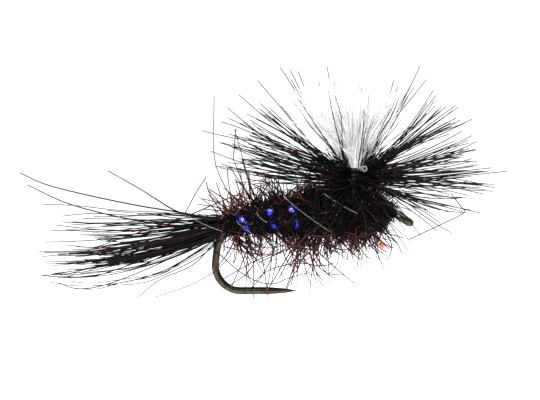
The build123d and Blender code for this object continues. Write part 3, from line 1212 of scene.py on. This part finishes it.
    def wind(self, number: int, barbs: Array, template: Template, dice: Dice) -> None:
        """Make one turn of the feather.

        Args:
            number: Which turn, from 0 at the bottom.
            barbs: Rows as for spread.
            template: The barb that is copied.
            dice: The source of random numbers.
        """
        turn, rise, far = barbs
        share = number / (self.turns - 1)
        quill_r = self.quill_r[0] + (self.quill_r[1] - self.quill_r[0]) * share
        ring_r = COLLAR_R + 0.01 + quill_r
        height = self.climb(number, turn / FULL_TURN % 1)
        out = np.cos(turn)[:, None] * POST_ALONG + np.sin(turn)[:, None] * POST_ACROSS
        roots = POST_FOOT + ring_r * out + height[:, None] * POST_UP
        way = out * np.cos(rise)[:, None] + POST_UP * np.sin(rise)[:, None]
        count = len(turn)
        bow = POST_UP * dice.normal(0.30, 0.75, (count, 1))
        bow = bow + np.cross(way, POST_UP) * dice.normal(0, 0.75, (count, 1))
        bow *= (far / self.length[1])[:, None] ** 2
        paths = arcs(roots, way * far[:, None] - 0.6 * bow, bow, self.rings)
        paths = waves(paths, 0.075, dice.uniform(0.6, 1.8, count), dice)
        radii = taper(count, self.rings, self.barb_r * dice.uniform(0.75, 1.25, count), self.tip_r, 1.7)
        name = f"hackle_turn_{number + 1}"
        piece = template.lay(name + "_barbs", paths, radii, dice.uniform(0, 1, count))
        dress_fibres(piece, Finish.HACKLE, name)
        self.quill(name, ring_r, quill_r, number)

    def quill(self, name: str, ring_r: float, quill_r: float, number: int) -> None:
        """Wind one turn of the stem, rising to meet the next.

        Args:
            name: The CAD node.
            ring_r: Radius of the turn's middle line.
            quill_r: Radius of the stem itself.
            number: Which turn, from 0 at the bottom.
        """
        steps = self.quill_steps
        t = np.linspace(0, 1, steps + 1)
        path = [
            on_post(ring_r * math.cos(turn), ring_r * math.sin(turn), up)
            for turn, up in zip(t * FULL_TURN, self.climb(number, t))
        ]
        radii = np.full((1, steps + 1), quill_r)
        piece = Template("stem", 8, steps).lay(name + "_quill", np.array([path]), radii, np.array([0.1]))
        dress_fibres(piece, Finish.HACKLE, name)


@dataclass
class Wing:
    """White yarn: an upright post that is brushed out into a soft fan."""

    post_r: float = 0.42
    post_foot: float = 0.5      # height where the fibres start
    post_top: float = 3.1       # above this they spread
    fibres: int = 1400
    top: float = 9.3
    rounding: float = 1.3       # how much lower the fan's edge is
    shortest: float = 3.8       # the most that a fibre falls short
    spread: tuple = (3.9, 1.8)      # along and across
    back: float = 0.75
    rings: int = 9

    def build(self) -> None:
        """Grow the fibres, straight up through the post and then out into the fan."""
        dice = np.random.default_rng(71)
        count = self.fibres
        share = dice.uniform(0, 1, count) ** 0.4
        turn = dice.uniform(0, FULL_TURN, count)
        ahead = (share * np.cos(turn))[:, None]
        side = (share * np.sin(turn))[:, None]
        out = 0.9 * self.post_r * (ahead * POST_ALONG + side * POST_ACROSS)
        roots = POST_FOOT + self.post_foot * POST_UP + out
        short = np.abs(dice.normal(0, 1.6, count)).clip(0, self.shortest)
        height = (self.top - self.rounding * share ** 2 - short)[:, None]
        along = (self.spread[0] * ahead - self.back) * POST_ALONG
        tips = POST_FOOT + height * POST_UP + along + self.spread[1] * side * POST_ACROSS
        t = np.linspace(0, 1, self.rings + 1)[None, :, None]
        length = height - self.post_foot
        above = t * length[:, None] - (self.post_top - self.post_foot)
        open_up = np.clip(above / (height - self.post_top)[:, None], 0, 1) ** 1.15
        straight = roots[:, None] + t * length[:, None] * POST_UP
        offset = tips - (roots + length * POST_UP)
        paths = waves(straight + offset[:, None] * open_up, 0.07, dice.uniform(0.8, 2.0, count), dice)
        radii = taper(count, self.rings, dice.uniform(0.014, 0.020, count), 0.012)
        piece = Template("yarn", 3, self.rings).lay("wing_fibres", paths, radii, dice.uniform(0, 1, count))
        dress_fibres(piece, Finish.WING, "wing_yarn")


@dataclass
class Flash:
    """Flat pearl strands that lie loose across the near side of the body."""

    half_width: float = 0.036
    bow: tuple = (0.30, -0.10, 0.22)
    ends: tuple = (
        ((-14.0, -0.62, 1.70), (-11.9, -1.00, 0.50)),
        ((-7.65, -1.95, 2.50), (-4.80, -2.05, -0.15)),
        ((-5.00, -2.05, 2.45), (-2.90, -2.25, 0.90)),
        ((-10.9, -1.25, 1.15), (-10.1, -1.35, 0.35)),
        ((-9.55, -1.45, 1.60), (-8.90, -1.50, 0.85)),
    )
    rings: int = 10

    def build(self) -> None:
        """Lay the strands and dress them."""
        dice = np.random.default_rng(83)
        ends = np.array(self.ends)
        count = len(ends)
        bow = np.tile(self.bow, (count, 1))
        paths = arcs(ends[:, 0], ends[:, 1] - ends[:, 0] - bow, bow, self.rings)
        radii = np.full((count, self.rings + 1), self.half_width)
        flat = Template("flash", 4, self.rings, 0.25)
        piece = flat.lay("pearl_flash_strands", paths, radii, dice.uniform(0, 1, count))
        dress(piece, pearl_film(), "pearl_film", "pearl_strands")


@dataclass
class Stem:
    """The feather's cut stem: a short flared horn tube that is open at its cut end."""

    radius: float = 0.21
    root_r: float = 0.14
    bore: float = 0.10
    length: float = 0.95
    root: tuple = (0.24, -(COLLAR_R + 0.24), 3.02)      # in the post's own frame
    way: tuple = (0.45, -1.0, 0.10)
    rim: float = 0.03       # rounding of the cut end
    bore_share: float = 0.5     # of the length
    crease: float = math.radians(40)

    def build(self) -> None:
        """Model the tube beside the top turn."""
        way = Vector(self.way).normalized()
        middle = Vector(on_post(*self.root)) + way * self.length / 2
        deselect()
        bpy.ops.mesh.primitive_cone_add(
            vertices=20, radius1=self.root_r * MM, radius2=self.radius * MM, depth=self.length * MM,
            location=middle * MM, rotation=way.to_track_quat("Z", "Y").to_euler(),
        )
        stem = settle(bpy.context.object)
        with editing():
            bpy.ops.mesh.select_all(action="DESELECT")
        end = max(stem.data.polygons, key=lambda face: face.normal.dot(way))
        end.select = True
        bpy.ops.object.mode_set(mode="EDIT")
        bpy.ops.mesh.select_mode(type="FACE")
        bpy.ops.mesh.inset(thickness=(self.radius - self.bore) * MM, depth=0)
        inwards = -way * self.length * self.bore_share * MM
        bpy.ops.mesh.extrude_region_move(TRANSFORM_OT_translate={"value": inwards})
        bpy.ops.object.mode_set(mode="OBJECT")
        bevel = stem.modifiers.new("rim", "BEVEL")
        bevel.width = self.rim * MM
        bevel.segments = 2
        bpy.ops.object.modifier_apply(modifier="rim")
        bpy.ops.object.shade_smooth_by_angle(angle=self.crease)
        stem.name = "hackle_cut_stem"
        dress(stem, quill_horn(), "horn_quill", "hackle_stem_stub")


@dataclass
class RedFleck:
    """A few short red fibres below the head."""

    count: int = 8
    root: tuple = (-1.60, -0.85, -1.45)
    way: tuple = (0.16, -0.20, -0.55)
    rings: int = 6

    def build(self) -> None:
        """Grow the tuft."""
        dice = np.random.default_rng(91)
        size = (self.count, 3)
        roots = np.array(self.root) + dice.normal(0, 0.10, size)
        ways = np.array(self.way) * dice.uniform(0.5, 1.0, (self.count, 1)) + dice.normal(0, 0.16, size)
        paths = arcs(roots, ways, dice.normal(0, 0.1, size), self.rings)
        radii = taper(self.count, self.rings, 0.045, 0.020)
        template = Template("floss", 3, self.rings)
        piece = template.lay("red_fleck", paths, radii, dice.uniform(0, 1, self.count))
        dress_fibres(piece, Finish.RED, "red_fleck_fibres")


CARRIED_THREADS = (
    "thread_base", "tail_lashing", "rib_lashing", "wing_lashing", "post_collar", "hackle_tie_off",
    "head_wraps",
)


def paint_carried() -> None:
    """Give the CAD nodes whose shape is right, the thread layers and the varnish, their materials."""
    thread = waxed_thread()
    carried = dict.fromkeys(CARRIED_THREADS, thread)
    carried["head_varnish"] = head_varnish()
    for name, material in carried.items():
        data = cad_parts[name].data
        data.materials.clear()
        data.materials.append(material)
        log.info("%s carried", name)


# ---------------------------------------------------------------- studio


@dataclass
class Studio:
    """Floor, lights, world and camera."""

    floor_z: float = -30.0
    floor_half: float = 1500.0
    target: tuple = (-8.56, 0.0, 2.10)
    elevation: float = 8.0
    roll: float = 6.0
    lens: float = 300.0
    sensor: float = 36.0
    view_width: float = 35.64
    sun_from: tuple = (-60, -120, 220)
    boxes: tuple = (("key_box", (-60, -130, 120), 70, 0.55), ("rim_box", (60, 110, 90), 60, 0.35))

    def build(self) -> None:
        """Set the whole studio up."""
        self.floor()
        self.world()
        self.lights()
        self.camera()
        bpy.context.scene.view_settings.view_transform = "Standard"

    def floor(self) -> None:
        """Lay the pale floor below the fly."""
        deselect()
        bpy.ops.mesh.primitive_plane_add(size=2 * self.floor_half * MM, location=(0, 0, self.floor_z * MM))
        floor = settle(bpy.context.object)
        floor.name = "floor"
        floor.data.materials.append(pale_card())

    def world(self) -> None:
        """Light the scene from all round, and show plain white behind it."""
        world = bpy.data.worlds.new("white_room")
        bpy.context.scene.world = world
        world.use_nodes = True
        nodes, links = world.node_tree.nodes, world.node_tree.links
        nodes.clear()
        fill = nodes.new("ShaderNodeBackground")
        fill.inputs["Color"].default_value = (0.93, 0.96, 1.0, 1.0)
        fill.inputs["Strength"].default_value = 0.65
        seen = nodes.new("ShaderNodeBackground")
        seen.inputs["Strength"].default_value = 1.0
        mix = nodes.new("ShaderNodeMixShader")
        links.new(nodes.new("ShaderNodeLightPath").outputs["Is Camera Ray"], mix.inputs[0])
        links.new(fill.outputs[0], mix.inputs[1])
        links.new(seen.outputs[0], mix.inputs[2])
        links.new(mix.outputs[0], nodes.new("ShaderNodeOutputWorld").inputs[0])

    def lights(self) -> None:
        """Hang a broad sun for the floor and two soft boxes for glints."""
        sun = bpy.data.lights.new("sun", "SUN")
        sun.energy = 2.2
        sun.angle = math.radians(12)
        self.hang(sun, self.sun_from)
        for name, place, size, watts in self.boxes:
            box = bpy.data.lights.new(name, "AREA")
            box.size = size * MM
            box.energy = watts
            self.hang(box, place)

    def hang(self, light: bpy.types.Light, place: tuple) -> None:
        """Hang one light so that it points at the fly.

        Args:
            light: The light.
            place: Where it hangs, in millimetres.
        """
        lamp = bpy.data.objects.new(light.name, light)
        lamp.location = Vector(place) * MM
        lamp.rotation_euler = (Vector(place) - Vector(self.target)).to_track_quat("Z", "Y").to_euler()
        bpy.context.scene.collection.objects.link(lamp)

    def camera(self) -> None:
        """Stand the camera at the near side, a little above the fly, tilted so that the shank rises."""
        lift, roll = math.radians(self.elevation), math.radians(self.roll)
        level = Vector((1, 0, 0))
        up = Vector((0, math.sin(lift), math.cos(lift)))
        right = math.cos(roll) * level - math.sin(roll) * up
        top = math.sin(roll) * level + math.cos(roll) * up
        back = right.cross(top)
        data = bpy.data.cameras.new("camera")
        data.lens = self.lens
        data.sensor_width = self.sensor
        data.clip_start = 0.01
        data.clip_end = 10.0
        camera = bpy.data.objects.new("camera", data)
        place = Vector(self.target) + back * (self.lens * self.view_width / self.sensor)
        turn = Matrix((right, top, back)).transposed().to_4x4()
        camera.matrix_world = Matrix.Translation(place * MM) @ turn
        bpy.context.scene.collection.objects.link(camera)
        bpy.context.scene.camera = camera


# ---------------------------------------------------------------- where the fur and the long hairs are


ABDOMEN_PROFILE = (
    (-11.85, 0.80, 0.50), (-11.2, 0.80, 0.70), (-10.75, 0.78, 0.78), (-10.38, 0.82, 0.74),
    (-9.7, 0.92, 1.05), (-9.1, 1.00, 1.12), (-8.5, 1.00, 1.12), (-7.9, 1.00, 1.32), (-7.2, 1.00, 1.22),
    (-6.75, 0.98, 1.40),
)
THORAX_REAR_PROFILE = (
    (-6.95, 1.00, 1.36), (-6.4, 0.95, 1.52), (-5.2, 0.92, 1.66), (-4.0, 0.92, 1.78), (-3.2, 0.90, 1.80),
)
THORAX_FRONT_PROFILE = (
    (-3.2, 0.90, 1.80), (-2.4, 0.85, 1.70), (-1.7, 0.72, 1.38), (-1.25, 0.60, 1.08), (-0.90, 0.55, 0.76),
    (-0.50, 0.50, 0.42),
)
ABDOMEN_BUNCHES = (
    ((-11.6, -9.2), 0.85, 0.85, (30, 160), 32, (1.0, 3.6), 0.7, -0.50),
    ((-10.0, -6.8), 1.0, 1.3, (20, 160), 36, (1.0, 3.6), 0.8, -0.2),
    ((-11.6, -6.8), 0.9, 1.1, (190, 350), 32, (1.2, 3.2), 1.2, 0.05),
    ((-11.4, -7.0), 0.7, 1.0, (225, 315), 30, (2.8, 5.0), 2.2, 0.10),
    ((-11.6, -6.8), 0.9, 1.1, (-30, 210), 20, (0.8, 2.0), 0.9, -0.1),
)
THORAX_BUNCHES = (
    ((-6.9, -4.6), 0.80, 1.6, (185, 355), 64, (1.0, 3.6), 1.3, -0.15),
    ((-6.9, -4.8), 0.65, 1.5, (240, 300), 14, (3.0, 5.0), 1.5, -0.30),
    ((-4.6, -1.4), 0.75, 1.6, (215, 325), 90, (0.9, 2.7), 0.9, 0.05),
    ((-6.9, -1.6), 0.75, 1.6, (150, 210), 12, (0.8, 1.8), 0.9, 0.0),
    ((-6.9, -1.6), 0.75, 1.6, (-30, 30), 12, (0.8, 1.8), 0.9, 0.0),
    ((-6.6, -4.4), 0.65, 1.6, (40, 140), 30, (0.8, 2.0), 0.8, -0.2),
)
TAIL_STRAYS = (
    (0.042, (-11.6, 0.2, 1.0), (-14.5, 0.3, 1.85), (-17.1, 0.35, 2.55), (-20.4, 0.4, 3.6),
     (-23.2, 0.4, 4.65), (-24.8, 0.4, 5.6)),
    (0.042, (-11.5, -0.2, 0.8), (-14.6, -0.4, 1.1), (-16.8, -0.5, 1.55), (-19.7, -0.6, 2.5),
     (-22.1, -0.6, 3.5), (-24.3, -0.6, 4.85)),
    (0.040, (-11.6, 0.1, 1.0), (-14.5, 0.2, 1.85), (-16.0, 0.2, 2.9), (-17.0, 0.2, 3.7), (-19.0, 0.2, 5.15)),
    (0.032, (-11.5, -0.4, 0.6), (-14.8, -0.5, -0.75), (-17.6, -0.5, -1.7), (-20.2, -0.5, -2.35),
     (-21.9, -0.5, -2.35), (-23.0, -0.5, -1.85)),
    (0.036, (-11.5, 0.3, 0.6), (-14.8, 0.4, -0.3), (-17.1, 0.5, -1.0), (-19.3, 0.5, -1.55),
     (-21.0, 0.5, -1.8), (-23.7, 0.5, -1.5)),
)
ABDOMEN_STRAYS = (
    (0.034, (-10.5, -0.3, 1.2), (-10.9, -0.4, 2.2), (-11.9, -0.4, 5.1), (-11.5, -0.4, 9.4)),
    (0.030, (-9.2, 0.3, 1.4), (-9.7, 0.3, 3.0), (-10.4, 0.3, 7.0)),
    (0.024, (-10.3, 0.3, 7.0), (-10.5, 0.3, 6.0), (-10.7, 0.3, 4.9)),
    (0.036, (-14.2, -0.9, 1.7), (-11.4, -1.0, 2.6), (-8.8, -1.1, 3.3)),
    (0.034, (-11.6, -0.5, 1.1), (-14.5, -0.7, 1.6), (-17.5, -0.8, 0.95), (-20.3, -0.8, 0.3)),
    (0.024, (-14.2, 0.4, 1.8), (-13.4, 0.4, 3.0), (-12.6, 0.4, 4.0)),
    (0.036, (-11.2, 0.2, 0.4), (-12.4, 0.1, -0.3), (-14.1, 0.1, -1.7), (-16.3, 0.0, -2.4),
     (-18.0, 0.0, -3.5)),
    (0.024, (-10.8, -0.2, -0.2), (-12.0, -0.4, -1.7), (-14.0, -0.4, -2.8), (-16.8, -0.4, -3.5)),
    (0.030, (-12.4, -0.5, -0.9), (-11.1, -0.6, -2.3), (-10.0, -0.6, -3.1), (-8.9, -0.6, -3.4),
     (-7.8, -0.6, -3.1), (-6.4, -0.5, -2.9)),
    (0.030, (-12.2, 0.5, -2.9), (-9.9, 0.5, -1.9), (-8.1, 0.4, -1.4), (-7.0, 0.4, -0.5)),
    (0.030, (-10.1, -0.8, 0.0), (-10.6, -0.9, -1.3), (-11.7, -0.8, -3.3)),
    (0.028, (-10.2, 0.4, -0.3), (-10.5, 0.5, -1.9), (-10.8, 0.4, -3.9)),
    (0.030, (-11.9, -0.5, -0.6), (-10.7, -0.7, -1.0), (-9.9, -0.7, -1.6), (-9.3, -0.6, -2.1)),
    (0.030, (-8.4, -0.6, -0.2), (-8.5, -0.7, -1.6), (-9.1, -0.7, -3.5)),
    (0.028, (-6.4, 0.6, -2.5), (-7.3, 0.7, -2.4), (-8.5, 0.7, -2.5), (-9.4, 0.7, -2.8), (-10.4, 0.6, -3.5)),
    (0.030, (-6.8, -0.5, -0.9), (-7.1, -0.6, -2.4), (-7.6, -0.6, -3.0), (-8.2, -0.6, -4.1)),
    (0.040, (-11.0, -0.6, 0.1), (-11.6, -0.7, -0.9), (-12.4, -0.7, -1.8)),
    (0.040, (-11.2, -0.6, 1.1), (-11.7, -0.7, 2.1), (-12.6, -0.7, 3.4)),
    (0.040, (-11.3, -0.3, 1.3), (-11.8, -0.3, 2.2), (-13.0, -0.3, 2.7)),
    (0.038, (-11.5, 0.1, 1.0), (-12.0, 0.1, 1.9), (-13.3, 0.1, 2.3)),
    (0.040, (-10.2, -0.8, 1.2), (-10.2, -0.9, 2.0), (-10.3, -0.9, 4.2)),
    (0.038, (-10.4, 0.4, 1.4), (-10.5, 0.4, 2.7), (-10.7, 0.4, 3.7)),
)
THORAX_STRAYS = (
    (0.030, (0.3, -1.2, -1.3), (2.2, -1.4, -0.6), (4.0, -1.5, 0.1), (3.9, -1.5, 0.5), (3.3, -1.5, 1.5)),
    (0.030, (-5.9, -0.6, -0.6), (-6.1, -0.7, -1.9), (-5.4, -0.7, -3.0), (-4.2, -0.7, -3.3)),
    (0.028, (-5.0, 0.5, -0.8), (-4.4, 0.6, -2.2), (-5.2, 0.6, -3.3), (-6.6, 0.5, -3.2)),
)


def main() -> None:
    """Build the fly, piece by piece."""
    logging.basicConfig(level=logging.INFO)
    Studio().build()
    Hook().build()
    paint_carried()
    Tail().build()
    ropes = {"rope": 1.70, "rope_start": -10.85, "bulge": 0.12}
    abdomen = FurBody("abdomen_fur", "abdomen_dubbing", ABDOMEN_PROFILE, 900, 200, 3, **ropes)
    abdomen.build()
    Rib(abdomen).build()
    FurBody("thorax_rear_fur", "thorax_dubbing_rear", THORAX_REAR_PROFILE, 850, 250, 5).build()
    FurBody("thorax_front_fur", "thorax_dubbing_front", THORAX_FRONT_PROFILE, 720, 200, 7, bare=0.85).build()
    GuardHairs("abdomen_guard_hair", "abdomen_guard_hairs", ABDOMEN_BUNCHES, 11).build()
    GuardHairs("thorax_guard_hair", "thorax_guard_hairs", THORAX_BUNCHES, 13).build()
    Strays("tail_strays", TAIL_STRAYS, Finish.TAIL, "tail_fibres").build()
    Strays("abdomen_strays", ABDOMEN_STRAYS, Finish.GUARD, "abdomen_guard_hairs").build()
    Strays("thorax_strays", THORAX_STRAYS, Finish.GUARD, "thorax_guard_hairs").build()
    Wing().build()
    Hackle().build()
    Stem().build()
    Flash().build()
    RedFleck().build()


if __name__ == "__main__":
    main()
